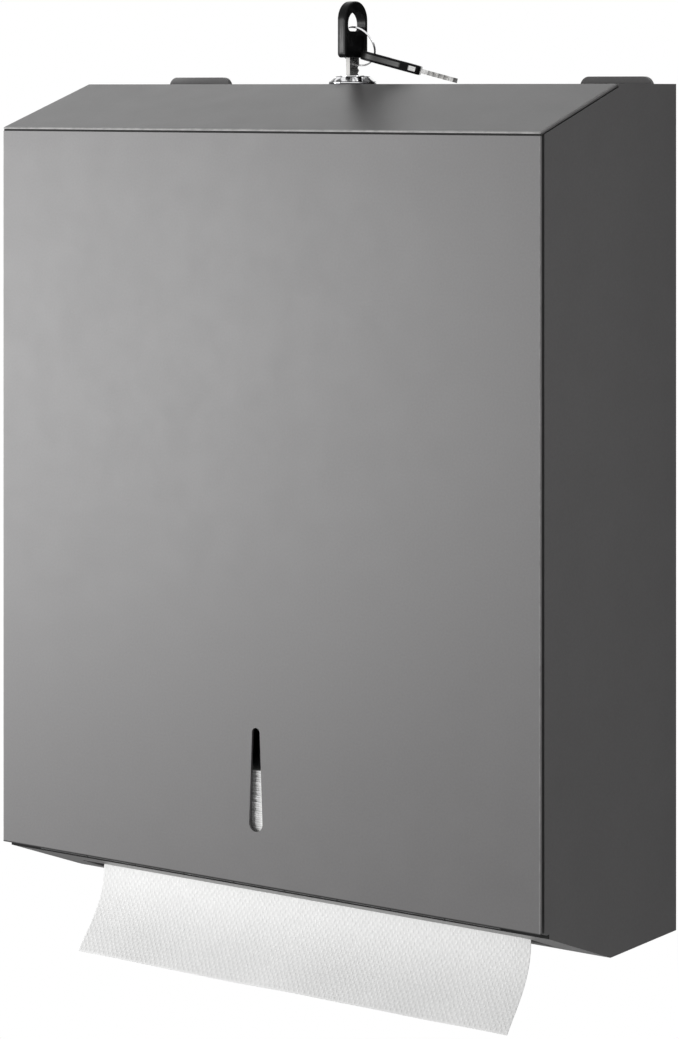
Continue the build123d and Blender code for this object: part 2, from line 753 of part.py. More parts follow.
# Key ring: a wire ring through both bows
with BuildPart() as key_ring:
    with BuildSketch(Plane(origin=ring_centre, x_dir=(1, 0, 0), z_dir=ring_down)):
        with Locations((ring_radius, 0)):
            Circle(ring_wire_radius)
    revolve(axis=Axis(ring_centre, ring_down.cross(Vector(1, 0, 0))))
key_ring.part.label = "key_ring"
export_step(key_ring.part, "parts/key_ring.step")

# Towel stack: folded towels across the opening, held at the front by the slope
# and at the back by the floor. Above the hinge they have slid forward, close behind the door.
stack_front_y = curb_y + sheet + stack_front_clearance
stack_back_y = -2 * sheet - stack_back_clearance
stack_top_z = sill_z + stack_height
tail_y = front_y + tail_setback
stack_front_z = floor_z(stack_front_y, sheet) + stack_floor_clearance * bottom_stretch
stack_back_z = bottom_z + 2 * sheet + stack_floor_clearance
stack_turn_y = heel_y - stack_sag
stack_turn_z = floor_z(stack_turn_y, sheet) + stack_sag
stack_lean_y = front_y + sheet + stack_door_clearance
stack_slide = stack_front_y - stack_lean_y
stack_step_z = hinge_z + leaf_height + stack_step_clearance
stack_outline = [
    (stack_front_y, stack_front_z),
    (stack_turn_y, stack_turn_z),
    (stack_back_y, stack_back_z),
    (stack_back_y, stack_step_z),
    (stack_back_y - stack_slide, stack_step_z),
    (stack_back_y - stack_slide, stack_top_z),
    (stack_lean_y, stack_top_z),
    (stack_lean_y, stack_step_z),
    (stack_front_y, stack_step_z),
]
# The tail of the lowest towel comes down through a slit between the folds.
stack_grade = (stack_front_z - stack_turn_z) / (stack_turn_y - stack_front_y)
tail_seat_z = stack_front_z - (tail_y + tail_thickness / 2 - stack_front_y) * stack_grade - tail_seat
tail_top_z = stack_top_z - tail_cover
slit_half = tail_thickness / 2 + tail_slit_clearance
with BuildPart() as towel_stack:
    with BuildSketch(Plane.YZ):
        Polygon(*stack_outline, align=None)
    extrude(amount=towel_width / 2, both=True)
    fillet(towel_stack.edges().filter_by(Axis.Z), stack_edge_round)
    slab(
        (-towel_width / 2 - overrun, towel_width / 2 + overrun),
        (tail_y - slit_half, tail_y + slit_half),
        (bottom_z - overrun, tail_top_z + tail_slit_clearance),
        mode=Mode.SUBTRACT,
    )
towel_stack.part.label = "towel_stack"
export_step(towel_stack.part, "parts/towel_stack.step")

# Towel tail: it drops straight out of the slit and the opening, then curls to the front
curl = math.radians(tail_curl_angle)
tail_bend_z = tail_seat_z - tail_straight
curl_end = (
    tail_y - tail_curl_radius * (1 - math.cos(curl)),
    tail_bend_z - tail_curl_radius * math.sin(curl),
)
tail_end = (
    curl_end[0] - tail_end_length * math.sin(curl),
    curl_end[1] - tail_end_length * math.cos(curl),
)
curl_middle = (
    tail_y - tail_curl_radius * (1 - math.cos(curl / 2)),
    tail_bend_z - tail_curl_radius * math.sin(curl / 2),
)
with BuildPart() as towel_tail:
    with BuildSketch(Plane.YZ):
        with BuildLine() as tail_line:
            Line((tail_y, tail_top_z), (tail_y, tail_bend_z))
            ThreePointArc((tail_y, tail_bend_z), curl_middle, curl_end)
            Line(curl_end, tail_end)
            offset(amount=tail_thickness / 2, side=Side.BOTH, kind=Kind.INTERSECTION, closed=True)
        make_face()
    extrude(amount=towel_width / 2, both=True)
towel_tail.part.label = "towel_tail"
export_step(towel_tail.part, "parts/towel_tail.step")

print("hinge axis", 0, round(hinge_y, 3), round(hinge_z, 3))
print("lock axis", 0, round(lock_y, 3), "plug face", round(plug_face_z, 3))
print("ring pivot", 0, round(ring_high_y, 3), round(ring_high_z, 3), "radius", round(ring_radius, 3))
spare_axis = Vector(1, 0, 0) * math.sin(hang) - ring_down * math.cos(hang)
print("spare pivot", [round(v, 3) for v in spare_pivot], "axis", [round(v, 4) for v in spare_axis])
print("spare dip", round(math.degrees(spare_dip), 2), "ring centre", [round(v, 3) for v in ring_centre])
print("stack top", round(stack_top_z, 3), "tail foot", [round(v, 3) for v in tail_end])
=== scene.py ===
import json
import math
import bpy
import numpy as np
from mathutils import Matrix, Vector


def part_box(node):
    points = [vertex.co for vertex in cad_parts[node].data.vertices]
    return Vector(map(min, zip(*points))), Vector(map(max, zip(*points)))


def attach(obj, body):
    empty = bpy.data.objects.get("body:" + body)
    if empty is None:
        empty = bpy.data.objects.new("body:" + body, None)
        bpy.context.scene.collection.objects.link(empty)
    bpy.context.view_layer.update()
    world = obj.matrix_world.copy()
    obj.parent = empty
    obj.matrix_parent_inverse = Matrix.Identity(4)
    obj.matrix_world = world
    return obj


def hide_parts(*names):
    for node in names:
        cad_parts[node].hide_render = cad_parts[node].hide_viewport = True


# Wall dispenser for folded paper towels: satin grey steel case, cam lock with two keys, white towels.
# Everything is in metres, in the case's own frame: x to the right, y into the wall, z up.

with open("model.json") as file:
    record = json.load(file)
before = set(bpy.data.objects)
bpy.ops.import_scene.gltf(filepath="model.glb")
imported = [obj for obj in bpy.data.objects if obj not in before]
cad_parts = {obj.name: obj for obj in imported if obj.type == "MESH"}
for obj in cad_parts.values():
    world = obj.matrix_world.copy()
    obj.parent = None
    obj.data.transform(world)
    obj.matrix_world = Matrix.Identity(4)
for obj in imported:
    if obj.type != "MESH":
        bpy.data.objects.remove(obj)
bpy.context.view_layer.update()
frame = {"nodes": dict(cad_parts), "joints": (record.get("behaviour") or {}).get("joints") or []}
nodes = frame["nodes"]
joints = {joint["name"]: joint for joint in frame["joints"]}
print("frame:", len(nodes), "case and lock parts loaded")


# small helpers for shader nodes and meshes

def partBox(part):
    # lowest and highest corner of a part of the frame, to the micrometre
    low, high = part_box(part)
    return np.round(low, 6), np.round(high, 6)


def put(tree, kind, sockets=None, out=0, **settings):
    # adds one node, sets its options, fills or links its inputs, and gives back one output
    made = tree.nodes.new(kind)
    for key, value in settings.items():
        setattr(made, key, value)
    for key, value in (sockets or {}).items():
        if isinstance(value, bpy.types.NodeSocket):
            tree.links.new(value, made.inputs[key])
        else:
            made.inputs[key].default_value = value
    return made.outputs[out]


def calc(tree, operation, first, second=0.0):
    return put(tree, "ShaderNodeMath", {0: first, 1: second}, operation=operation)


def blend(tree, *pairs):
    # the sum of sockets, each times its share
    total = None
    for value, share in pairs:
        amount = calc(tree, "MULTIPLY", value, share)
        total = amount if total is None else calc(tree, "ADD", total, amount)
    return total


def mask(tree, *values):
    # the product of masks
    total = values[0]
    for value in values[1:]:
        total = calc(tree, "MULTIPLY", total, value)
    return total


def spread(tree, value, fromMin, fromMax, toMin, toMax, smooth=False):
    kind = "SMOOTHSTEP" if smooth else "LINEAR"
    sockets = {
        "Value": value, "From Min": fromMin, "From Max": fromMax, "To Min": toMin, "To Max": toMax,
    }
    return put(tree, "ShaderNodeMapRange", sockets, interpolation_type=kind)


def tint(tree, factor, colourA, colourB):
    return put(tree, "ShaderNodeMix", {0: factor, 6: colourA, 7: colourB}, out=2, data_type="RGBA")


def noise(tree, where, scale, detail=2.0, rough=0.5, warp=0.0):
    sockets = {"Vector": where, "Scale": scale, "Detail": detail, "Roughness": rough, "Distortion": warp}
    return put(tree, "ShaderNodeTexNoise", sockets)


def mapped(tree, where, scale, turn=(0, 0, 0)):
    return put(tree, "ShaderNodeMapping", {"Vector": where, "Rotation": turn, "Scale": scale})


def axes(tree, where):
    # the three parts of a place
    return put(tree, "ShaderNodeSeparateXYZ", {0: where}).node.outputs


def bumped(tree, height, strength, depth, normal=None):
    sockets = {"Height": height, "Strength": strength, "Distance": depth}
    if normal is not None:
        sockets["Normal"] = normal
    return put(tree, "ShaderNodeBump", sockets)


def grey(level):
    return (level, level, level, 1.0)


def startMaterial(name, constants):
    # a material with one principled shader, whose fixed values stand on its own sockets
    made = bpy.data.materials.new(name)
    made.use_nodes = True
    tree = made.node_tree
    tree.nodes.clear()
    shader = tree.nodes.new("ShaderNodeBsdfPrincipled")
    output = tree.nodes.new("ShaderNodeOutputMaterial")
    tree.links.new(shader.outputs[0], output.inputs[0])
    for key, value in constants.items():
        shader.inputs[key].default_value = value
    where = put(tree, "ShaderNodeTexCoord", out="Object")
    return made, tree, shader, where


def feed(tree, shader, base, rough, normal=None):
    tree.links.new(base, shader.inputs["Base Color"])
    tree.links.new(rough, shader.inputs["Roughness"])
    if normal is not None:
        tree.links.new(normal, shader.inputs["Normal"])


def carriedMesh(name, rings, material, flatUv=None, rounded=True):
    # rings is bodies x sections x points x 3: each ring of points is joined to the next section's ring
    # by four-sided faces, and each end is closed by a strip between the two halves of its ring
    bodies, sections, points, _ = rings.shape
    index = np.arange(sections * points).reshape(sections, points)
    beside = np.roll(index, -1, axis=1)
    walls = np.stack([index[:-1], beside[:-1], beside[1:], index[1:]], axis=-1).reshape(-1, 4)
    step = np.arange(points // 2 - 1)

    def endStrip(row):
        back = points - 1 - step
        return np.stack([row[step], row[back], row[back - 1], row[step + 1]], axis=-1)

    faces = np.concatenate([walls, endStrip(index[0]), endStrip(index[-1])[:, ::-1]])
    smooth = np.concatenate([np.full(len(walls), rounded), np.zeros(len(faces) - len(walls), bool)])
    faces = (faces[None] + np.arange(bodies)[:, None, None] * sections * points).reshape(-1, 4)
    smooth = np.tile(smooth, bodies)
    spots = rings.reshape(-1, 3)
    a, b, c, d = (spots[faces[:, k]] for k in range(4))
    volume = np.einsum("ij,ij->", a, np.cross(b, c)) + np.einsum("ij,ij->", a, np.cross(c, d))
    if volume < 0:
        faces = faces[:, ::-1]
    mesh = bpy.data.meshes.new(name)
    mesh.vertices.add(len(spots))
    mesh.vertices.foreach_set("co", spots.astype(np.float32).ravel())
    mesh.loops.add(faces.size)
    mesh.loops.foreach_set("vertex_index", faces.astype(np.int32).ravel())
    mesh.polygons.add(len(faces))
    mesh.polygons.foreach_set("loop_start", np.arange(len(faces), dtype=np.int32) * 4)
    mesh.polygons.foreach_set("use_smooth", smooth)
    if flatUv is not None:
        layer = mesh.uv_layers.new(name="flat")
        layer.data.foreach_set("uv", flatUv.reshape(-1, 2)[faces.ravel()].astype(np.float32).ravel())
    mesh.update(calc_edges=True)
    mesh.validate()
    mesh.materials.append(material)
    piece = bpy.data.objects.new(name, mesh)
    bpy.context.scene.collection.objects.link(piece)
    return piece


# camera, at the photograph's place

cameraView = {
    "place": (0.822, -1.205, 0.1758),
    "turn": 35.38,          # degrees about z
    "lens": 113.44,
    "sensor": 36.0,         # taken over the height of a 679 x 1039 picture
    "rise": -0.4142,        # shift of the picture, as a share of its height
    "clip": (0.05, 50.0),
}


def addCamera(look):
    data = bpy.data.cameras.new("studioCamera")
    data.sensor_fit = "VERTICAL"
    data.sensor_height = look["sensor"]
    data.lens = look["lens"]
    data.shift_y = look["rise"]
    data.clip_start, data.clip_end = look["clip"]
    made = bpy.data.objects.new("studioCamera", data)
    made.location = look["place"]
    made.rotation_euler = (math.radians(90), 0.0, math.radians(look["turn"]))
    bpy.context.scene.collection.objects.link(made)
    bpy.context.scene.camera = made


addCamera(cameraView)
print("camera set")


# light: a soft box at the left, weak ones at the right and behind, three dark flags, pale air and floor

studio = {
    "air": 0.13,            # light that the white surroundings shed on the case
    "boxes": {              # width and height in metres, power in watts
        "softBox": {
            "place": (-1.17, -1.18, -0.03), "aim": (0.0, -0.1, 0.0), "size": (1.0, 0.6), "power": 28.9,
        },
        "fillBox": {
            "place": (0.42, -0.14, 0.06), "aim": (0.14, -0.07, 0.05), "size": (0.12, 0.5), "power": 0.34,
        },
        "rearBox": {
            "place": (-1.3, 1.3, 0.85), "aim": (0.0, 0.0, 0.0), "size": (0.8, 0.8), "power": 1.3,
        },
    },
    "flags": {              # half the width and height of each card
        "sideFlag": {"place": (1.15, 1.45, -0.1), "half": (0.75, 0.75), "colour": 0.12},
        "lowFlag": {"place": (-0.95, 1.25, -0.75), "half": (0.75, 0.50), "colour": 0.04},
        "frontFlag": {"place": (-0.80, -1.58, -0.64), "half": (0.36, 0.28), "colour": 0.04},
    },
}
paleFloor = {
    "drop": -0.95,
    "radius": 1.25,
    "eye": 0.02,                # radius of the first ring
    "rings": 24, "sides": 64,
    "fade": (0.45, 0.98),       # shares of the radius between which the floor fades out
    "colour": 0.82,
    "dim": 0.9,                 # share of the colour in the clouds
    "glow": 0.45,               # how much paler it is to the eye and in reflections
}
cardCloth = {
    "points": 9,                # grid points each way on a flag
    "weave": 300.0,             # spots to the metre
    "dim": 0.7,                 # share of the colour in the weave's hollows
    "gloss": (0.85, 0.95),      # roughness in the hollows and on the threads
}


def seenRays(tree):
    # 1 where the eye, a reflection or a clear thing looks, 0 for the light that is shed
    path = tree.nodes.new("ShaderNodeLightPath").outputs
    seen = calc(tree, "MAXIMUM", path["Is Camera Ray"], path["Is Glossy Ray"])
    return calc(tree, "MAXIMUM", seen, path["Is Transmission Ray"])


def addAir(look):
    # white to the eye and in reflections, dim for the light that it sheds
    world = bpy.data.worlds.new("studioAir")
    bpy.context.scene.world = world
    world.use_nodes = True
    tree = world.node_tree
    tree.nodes.clear()
    strength = spread(tree, seenRays(tree), 0.0, 1.0, look["air"], 1.0)
    background = put(tree, "ShaderNodeBackground", {"Color": (1, 1, 1, 1), "Strength": strength})
    output = tree.nodes.new("ShaderNodeOutputWorld")
    tree.links.new(background, output.inputs[0])


def addBox(name, look):
    data = bpy.data.lights.new(name, "AREA")
    data.shape = "RECTANGLE"
    data.size, data.size_y = look["size"]
    data.energy = look["power"]
    made = bpy.data.objects.new(name, data)
    place = np.array(look["place"])
    ahead = np.array(look["aim"]) - place
    flat = math.hypot(ahead[0], ahead[1])
    made.location = place
    made.rotation_euler = (math.atan2(flat, -ahead[2]), 0.0, math.atan2(-ahead[0], ahead[1]))
    bpy.context.scene.collection.objects.link(made)


def addFloor(look):
    # a round disc of rings about the middle, which fades out towards its rim
    angle = np.linspace(0, 2 * np.pi, look["sides"] + 1)[:-1]
    reach = np.linspace(look["eye"], look["radius"], look["rings"])
    x = reach[:, None] * np.cos(angle)
    y = reach[:, None] * np.sin(angle)
    spots = np.stack([x, y, np.full_like(x, look["drop"])], axis=-1).reshape(-1, 3)
    index = np.arange(len(spots)).reshape(len(reach), len(angle))
    beside = np.roll(index, -1, axis=1)
    faces = np.stack([index[:-1], index[1:], beside[1:], beside[:-1]], axis=-1).reshape(-1, 4)
    mesh = bpy.data.meshes.new("paleFloor")
    mesh.from_pydata(spots.tolist(), [], faces.tolist() + [index[0].tolist()])
    made = bpy.data.materials.new("paleFloor")
    made.use_nodes = True
    tree = made.node_tree
    tree.nodes.clear()
    where = put(tree, "ShaderNodeTexCoord", out="Object")
    level = put(tree, "ShaderNodeVectorMath", {0: where, 1: (1, 1, 0)}, operation="MULTIPLY")
    far = put(tree, "ShaderNodeVectorMath", {0: level}, out=1, operation="LENGTH")
    near, rim = (share * look["radius"] for share in look["fade"])
    fade = spread(tree, far, near, rim, 0.0, 1.0, smooth=True)
    cloud = spread(tree, noise(tree, where, 3.0, 4.0), 0.3, 0.7, 0.97, 1.0)
    colour = tint(tree, cloud, grey(look["colour"] * look["dim"]), grey(look["colour"]))
    matt = put(tree, "ShaderNodeBsdfDiffuse", {"Color": colour, "Roughness": 0.8})
    strength = spread(tree, seenRays(tree), 0.0, 1.0, 0.0, look["glow"])
    glow = put(tree, "ShaderNodeEmission", {"Color": (1, 1, 1, 1), "Strength": strength})
    pale = put(tree, "ShaderNodeAddShader", {0: matt, 1: glow})
    clear = put(tree, "ShaderNodeBsdfTransparent")
    mixed = put(tree, "ShaderNodeMixShader", {0: fade, 1: pale, 2: clear})
    output = tree.nodes.new("ShaderNodeOutputMaterial")
    tree.links.new(mixed, output.inputs[0])
    mesh.materials.append(made)
    floor = bpy.data.objects.new("paleFloor", mesh)
    bpy.context.scene.collection.objects.link(floor)


def addFlag(name, look):
    # an upright dark card, a grid over its width and height, turned to face the case
    place = np.array(look["place"])
    ahead = -place * (1, 1, 0) / math.hypot(place[0], place[1])
    aside = np.array([-ahead[1], ahead[0], 0.0])
    count = cardCloth["points"]
    u = np.linspace(-1, 1, count)[:, None, None] * look["half"][0]
    v = np.linspace(-1, 1, count)[None, :, None] * look["half"][1]
    spots = (place + u * aside + v * np.array([0.0, 0.0, 1.0])).reshape(-1, 3)
    index = np.arange(count ** 2).reshape(count, count)
    first, after = index[:-1], index[1:]
    faces = np.stack([first[:, :-1], after[:, :-1], after[:, 1:], first[:, 1:]], axis=-1).reshape(-1, 4)
    mesh = bpy.data.meshes.new(name)
    mesh.from_pydata(spots.tolist(), [], faces.tolist())
    made, tree, shader, where = startMaterial(name + "Cloth", {"Specular IOR Level": 0.1})
    weave = noise(tree, where, cardCloth["weave"], 2.0)
    base = tint(tree, weave, grey(look["colour"] * cardCloth["dim"]), grey(look["colour"]))
    feed(tree, shader, base, spread(tree, weave, 0.3, 0.7, *cardCloth["gloss"]))
    mesh.materials.append(made)
    card = bpy.data.objects.new(name, mesh)
    card.visible_camera = False
    bpy.context.scene.collection.objects.link(card)


bpy.context.scene.view_settings.view_transform = "Standard"
addAir(studio)
for box, look in studio["boxes"].items():
    addBox(box, look)
for flag, look in studio["flags"].items():
    addFlag(flag, look)
addFloor(paleFloor)
print("light and floor set")


# finishes

doorLow, doorHigh = partBox("front_door")
brow = 0.1589                       # z of the edge between the door's front and its slope
casePaint = {
    "dark": (0.150, 0.147, 0.148, 1.0),
    "light": (0.172, 0.169, 0.170, 1.0),
    # painted shade: the colour given to the groove under the brow, the gap under the door and the door's
    # foot
    "grime": (0.018, 0.018, 0.018, 1.0),
    # rubbed wear along the outer edges, made light enough to be a painted highlight too
    "worn": (0.60, 0.595, 0.59, 1.0),
    "clouds": 6.0, "mottles": 70.0, "rubs": 220.0,      # spots to the metre
    "shares": (0.3, 0.2, 0.5),      # of clouds, mottles and grain in the colour
    "gloss": (0.36, 0.40),          # roughness, from the smooth clouds to the dull ones
    "grain": 0.0009,                # size of the paint's orange peel
    "peel": (0.10, 0.00012),        # its strength and depth
    "halfWidth": doorHigh[0], "front": doorLow[1], "foot": doorLow[2], "brow": brow,
    "slope": math.atan2(doorHigh[2] - brow, doorHigh[1] - doorLow[1]),
    "groove": (brow - 0.0016, brow - 0.0006),           # lowest and highest z of the groove under the brow
    "grooveDepth": (0.0001, 0.0003, 0.0010, 0.0012),    # where its painted shade starts, is full, thins and ends
    "grooveGrime": 0.85,
    # depth where the painted shade in the gap under the door starts and ends, and the height of its top
    # from the door's foot
    "gap": (0.0014, 0.0066, -0.0010),
    # heights above the foot where its painted shade is full and where it ends, and the shade's share
    "hem": (0.0002, 0.0007, 0.95),
    "browLine": (0.0009, 0.0005, 0.95),     # reach of the rubbed line, which is also a painted highlight, its core, and how light it is
    "sideLine": (0.0008, 0.0003, 0.45),
}


def wornAndLitLine(tree, first, second, line):
    # fades with the distance from an edge, which is the root of two squared offsets
    far = calc(tree, "SQRT", blend(tree, (first, first), (second, second)))
    return spread(tree, far, line[0], line[1], 0.0, line[2], smooth=True)


def satinPaint(look):
    # soft clouds and a fine grain in the colour, with the same grain as height,
    # a thin light line where two outer faces of the case meet, which is rubbed wear and a painted
    # highlight, and painted shade in the groove under the brow, in the gap under the door and along the
    # door's foot
    constants = {"Metallic": 0.0, "Specular IOR Level": 0.28}
    made, tree, shader, where = startMaterial("satinGreyPaint", constants)
    cloud = noise(tree, where, look["clouds"], 4.0, 0.55, 0.4)
    mottle = noise(tree, where, look["mottles"], 4.0, 0.6)
    grain = noise(tree, where, 1.0 / look["grain"], 2.0, 0.6)
    dust = noise(tree, where, 3.2 / look["grain"], 1.0, 0.5)
    shade = blend(tree, *zip((cloud, mottle, grain), look["shares"]))
    base = tint(tree, spread(tree, shade, 0.34, 0.66, 0.0, 1.0), look["dark"], look["light"])
    x, y, z = axes(tree, where)
    sideways = calc(tree, "SUBTRACT", calc(tree, "ABSOLUTE", x), look["halfWidth"])
    depth = calc(tree, "SUBTRACT", y, look["front"])
    upright = calc(tree, "SUBTRACT", z, look["brow"])
    uphill = blend(tree, (upright, math.cos(look["slope"])), (depth, -math.sin(look["slope"])))
    edge = wornAndLitLine(tree, depth, upright, look["browLine"])
    edge = calc(tree, "MAXIMUM", edge, wornAndLitLine(tree, sideways, depth, look["sideLine"]))
    edge = calc(tree, "MAXIMUM", edge, wornAndLitLine(tree, sideways, uphill, look["sideLine"]))
    rub = spread(tree, noise(tree, where, look["rubs"], 5.0, 0.65), 0.3, 0.6, 0.55, 1.0)
    # light line along the edges: rubbed wear and a painted highlight
    base = tint(tree, calc(tree, "MULTIPLY", edge, rub), base, look["worn"])
    # painted shade: dark colour in the groove under the brow, in the gap under the door and along the
    # door's foot
    start, full, thin, end = look["grooveDepth"]
    low, high = look["groove"]
    gathers = spread(tree, depth, start, full, 0.0, 1.0)
    thins = spread(tree, depth, thin, end, 1.0, 0.0)
    sunk = mask(tree, gathers, thins, calc(tree, "GREATER_THAN", z, low),
                calc(tree, "LESS_THAN", z, high), look["grooveGrime"])
    near, far, top = look["gap"]
    under = mask(tree, calc(tree, "GREATER_THAN", depth, near), calc(tree, "LESS_THAN", depth, far),
                 calc(tree, "LESS_THAN", z, look["foot"] + top))
    full, end, share = look["hem"]
    fades = spread(tree, z, look["foot"] + full, look["foot"] + end, share, 0.0)
    hem = mask(tree, calc(tree, "LESS_THAN", depth, near), fades)
    shadeMask = calc(tree, "MAXIMUM", calc(tree, "MAXIMUM", sunk, under), hem)
    base = tint(tree, shadeMask, base, look["grime"])
    dull = blend(tree, (mottle, 0.6), (cloud, 0.4))
    rough = spread(tree, dull, 0.35, 0.65, *look["gloss"])
    rough = spread(tree, shadeMask, 0.0, 1.0, rough, 1.0)
    peel = blend(tree, (grain, 1.0), (dust, 0.5))
    feed(tree, shader, base, rough, bumped(tree, peel, *look["peel"]))
    return made


bareMetal = {"Metallic": 1.0, "Specular IOR Level": 0.5}
plating = {
    "name": "zincPlate",
    "dark": (0.42, 0.43, 0.45, 1.0),
    "light": (0.66, 0.67, 0.68, 1.0),
    "yellow": (0.60, 0.57, 0.45, 1.0),
    "crystals": 420.0, "clouds": 90.0,      # spots to the metre
    "drawn": (40.0, 3000.0, 3000.0),        # fine lines to the metre along x, y and z
    "shares": (0.45, 0.55),                 # of crystals and lines in the colour
    "gloss": (0.26, 0.46),
    "lines": (0.12, 0.00005),               # their strength and depth
}
# near black plating on the hinge, which also paints the shade in the gap under the door where the hinge
# shows
hingePlating = dict(
    plating,
    name="blackZinc",
    dark=(0.020, 0.020, 0.021, 1.0),
    light=(0.055, 0.055, 0.056, 1.0),
    yellow=(0.050, 0.045, 0.036, 1.0),
)


def zincPlate(look):
    # flat crystals of zinc from the nearest-point cells, a faint yellow cloud, and fine drawn lines
    made, tree, shader, where = startMaterial(look["name"], bareMetal)
    cells = put(tree, "ShaderNodeTexVoronoi", {"Vector": where, "Scale": look["crystals"]}, out="Color")
    flake = put(tree, "ShaderNodeSeparateColor", {0: cells})
    cloud = noise(tree, where, look["clouds"], 3.0, 0.6)
    lines = noise(tree, mapped(tree, where, look["drawn"]), 1.0, 2.0)
    shade = blend(tree, *zip((flake, lines), look["shares"]))
    base = tint(tree, spread(tree, shade, 0.2, 0.8, 0.0, 1.0), look["dark"], look["light"])
    base = tint(tree, spread(tree, cloud, 0.48, 0.72, 0.0, 0.45), base, look["yellow"])
    rough = spread(tree, calc(tree, "ADD", flake, cloud), 0.4, 1.5, *look["gloss"])
    feed(tree, shader, base, rough, bumped(tree, lines, *look["lines"]))
    return made


bright = {
    "name": "lockChrome",
    "clean": (0.88, 0.88, 0.89, 1.0),
    "smudged": (0.70, 0.70, 0.72, 1.0),
    "smudges": 260.0,                       # spots to the metre
    "hairs": (5200.0, 600.0, 900.0),        # scratches to the metre
    "hairTurn": (0.3, 0.1, 0.6),            # their lie, in radians
    "gloss": (0.05, 0.18),
    "scratch": (0.05, 0.00003),             # strength and depth
    "seams": (),
}
flangeChrome = dict(
    bright,
    name="flangeChrome",
    # painted reflection and painted shade on the flange: dark bands round it and dark lines at its edges
    tarnish=(0.02, 0.02, 0.022, 1.0),
    bands=0.9,                  # how dark the bands of painted reflection round the flange are
    centre=joints["lock_turn"]["pos_m"],    # on the lock's axis, at the top panel's face
    pace=2.6,                   # bands in each radian round the lock
    climb=260.0,                # bands in each metre up it
    # height above that face and half width of the dark lines of painted shade
    seams=((0.0002, 0.00035), (0.0010, 0.00022), (0.0033, 0.00022)),
)


def lockChrome(look):
    # mirror plate with fingermark clouds and hair-fine wiping scratches; dark bands of painted reflection
    # follow a noise of the angle round the lock's axis, and dark lines of painted shade lie at fixed
    # heights
    made, tree, shader, where = startMaterial(look["name"], bareMetal)
    smudge = noise(tree, where, look["smudges"], 4.0, 0.6, 0.8)
    hair = noise(tree, mapped(tree, where, look["hairs"], look["hairTurn"]), 1.0, 2.0, 0.5)
    base = tint(tree, spread(tree, smudge, 0.45, 0.75, 0.0, 0.6), look["clean"], look["smudged"])
    # painted reflection bands round the lock, and painted shade lines at fixed heights
    if look["seams"]:
        x, y, z = axes(tree, where)
        east = calc(tree, "SUBTRACT", x, look["centre"][0])
        north = calc(tree, "SUBTRACT", y, look["centre"][1])
        angle = calc(tree, "MULTIPLY", calc(tree, "ARCTAN2", north, east), look["pace"])
        spot = put(tree, "ShaderNodeCombineXYZ", {0: angle, 1: calc(tree, "MULTIPLY", z, look["climb"])})
        dark = spread(tree, noise(tree, spot, 1.0, 1.0), 0.50, 0.58, 0.0, look["bands"])
        for height, half in look["seams"]:
            off = calc(tree, "ABSOLUTE", calc(tree, "SUBTRACT", z, look["centre"][2] + height))
            dark = calc(tree, "MAXIMUM", dark, spread(tree, off, half * 0.6, half, 1.0, 0.0))
        base = tint(tree, dark, base, look["tarnish"])
    rough = spread(tree, blend(tree, (smudge, 1.0), (hair, 0.4)), 0.4, 1.0, *look["gloss"])
    feed(tree, shader, base, rough, bumped(tree, hair, *look["scratch"]))
    return made


keySteel = {
    "dark": (0.50, 0.495, 0.49, 1.0),
    "light": (0.84, 0.835, 0.82, 1.0),
    "ground": (0.66, 0.655, 0.645, 1.0),
    "edge": partBox("key_blade")[0][1] + 0.00005,       # y before which the blade is ground matt
    "matt": 0.9,
    "cuts": (900.0, 900.0, 4200.0), "patches": 420.0,   # marks and bright patches to the metre
    "gloss": (0.34, 0.16),
    "mark": (0.18, 0.00006),    # strength and depth
}


def nickelBlade(look):
    # milled nickel: short cutter marks across the blade, rubbed bright in patches,
    # and a matt ground edge
    made, tree, shader, where = startMaterial("nickelBlade", bareMetal)
    cutter = noise(tree, mapped(tree, where, look["cuts"]), 1.0, 3.0, 0.6)
    rubbed = noise(tree, where, look["patches"], 4.0, 0.6, 0.6)
    shade = blend(tree, (cutter, 0.5), (rubbed, 0.5))
    base = tint(tree, spread(tree, shade, 0.36, 0.62, 0.0, 1.0), look["dark"], look["light"])
    ground = calc(tree, "LESS_THAN", axes(tree, where)[1], look["edge"])
    base = tint(tree, ground, base, look["ground"])
    rough = spread(tree, shade, 0.3, 0.7, *look["gloss"])
    rough = spread(tree, ground, 0.0, 1.0, rough, look["matt"])
    feed(tree, shader, base, rough, bumped(tree, cutter, *look["mark"]))
    return made


bowPlastic = {
    "deep": (0.0065, 0.0065, 0.007, 1.0),
    "grey": (0.017, 0.017, 0.0175, 1.0),
    "skin": 2600.0, "holds": 190.0,     # spots to the metre
    "gloss": (0.18, 0.30),
    "grain": (0.15, 0.00005),           # strength and depth
}


def mouldedPlastic(look):
    # spark-eroded skin: close grain as height, with shinier patches where fingers hold it
    constants = {"Metallic": 0.0, "Specular IOR Level": 0.08}
    made, tree, shader, where = startMaterial("blackBowPlastic", constants)
    skin = noise(tree, where, look["skin"], 2.0, 0.6)
    held = noise(tree, where, look["holds"], 3.0, 0.6, 0.5)
    shade = spread(tree, calc(tree, "ADD", skin, held), 0.7, 1.3, 0.0, 1.0)
    base = tint(tree, shade, look["deep"], look["grey"])
    rough = spread(tree, held, 0.35, 0.65, *look["gloss"])
    feed(tree, shader, base, rough, bumped(tree, skin, *look["grain"]))
    return made


bumperRubber = {
    "deep": (0.016, 0.016, 0.016, 1.0),
    "bloom": (0.052, 0.051, 0.050, 1.0),
    "pores": 1900.0, "blooms": 330.0,   # spots to the metre
    "gloss": (0.72, 0.9),
    "pit": (0.35, 0.0001),              # strength and depth
}


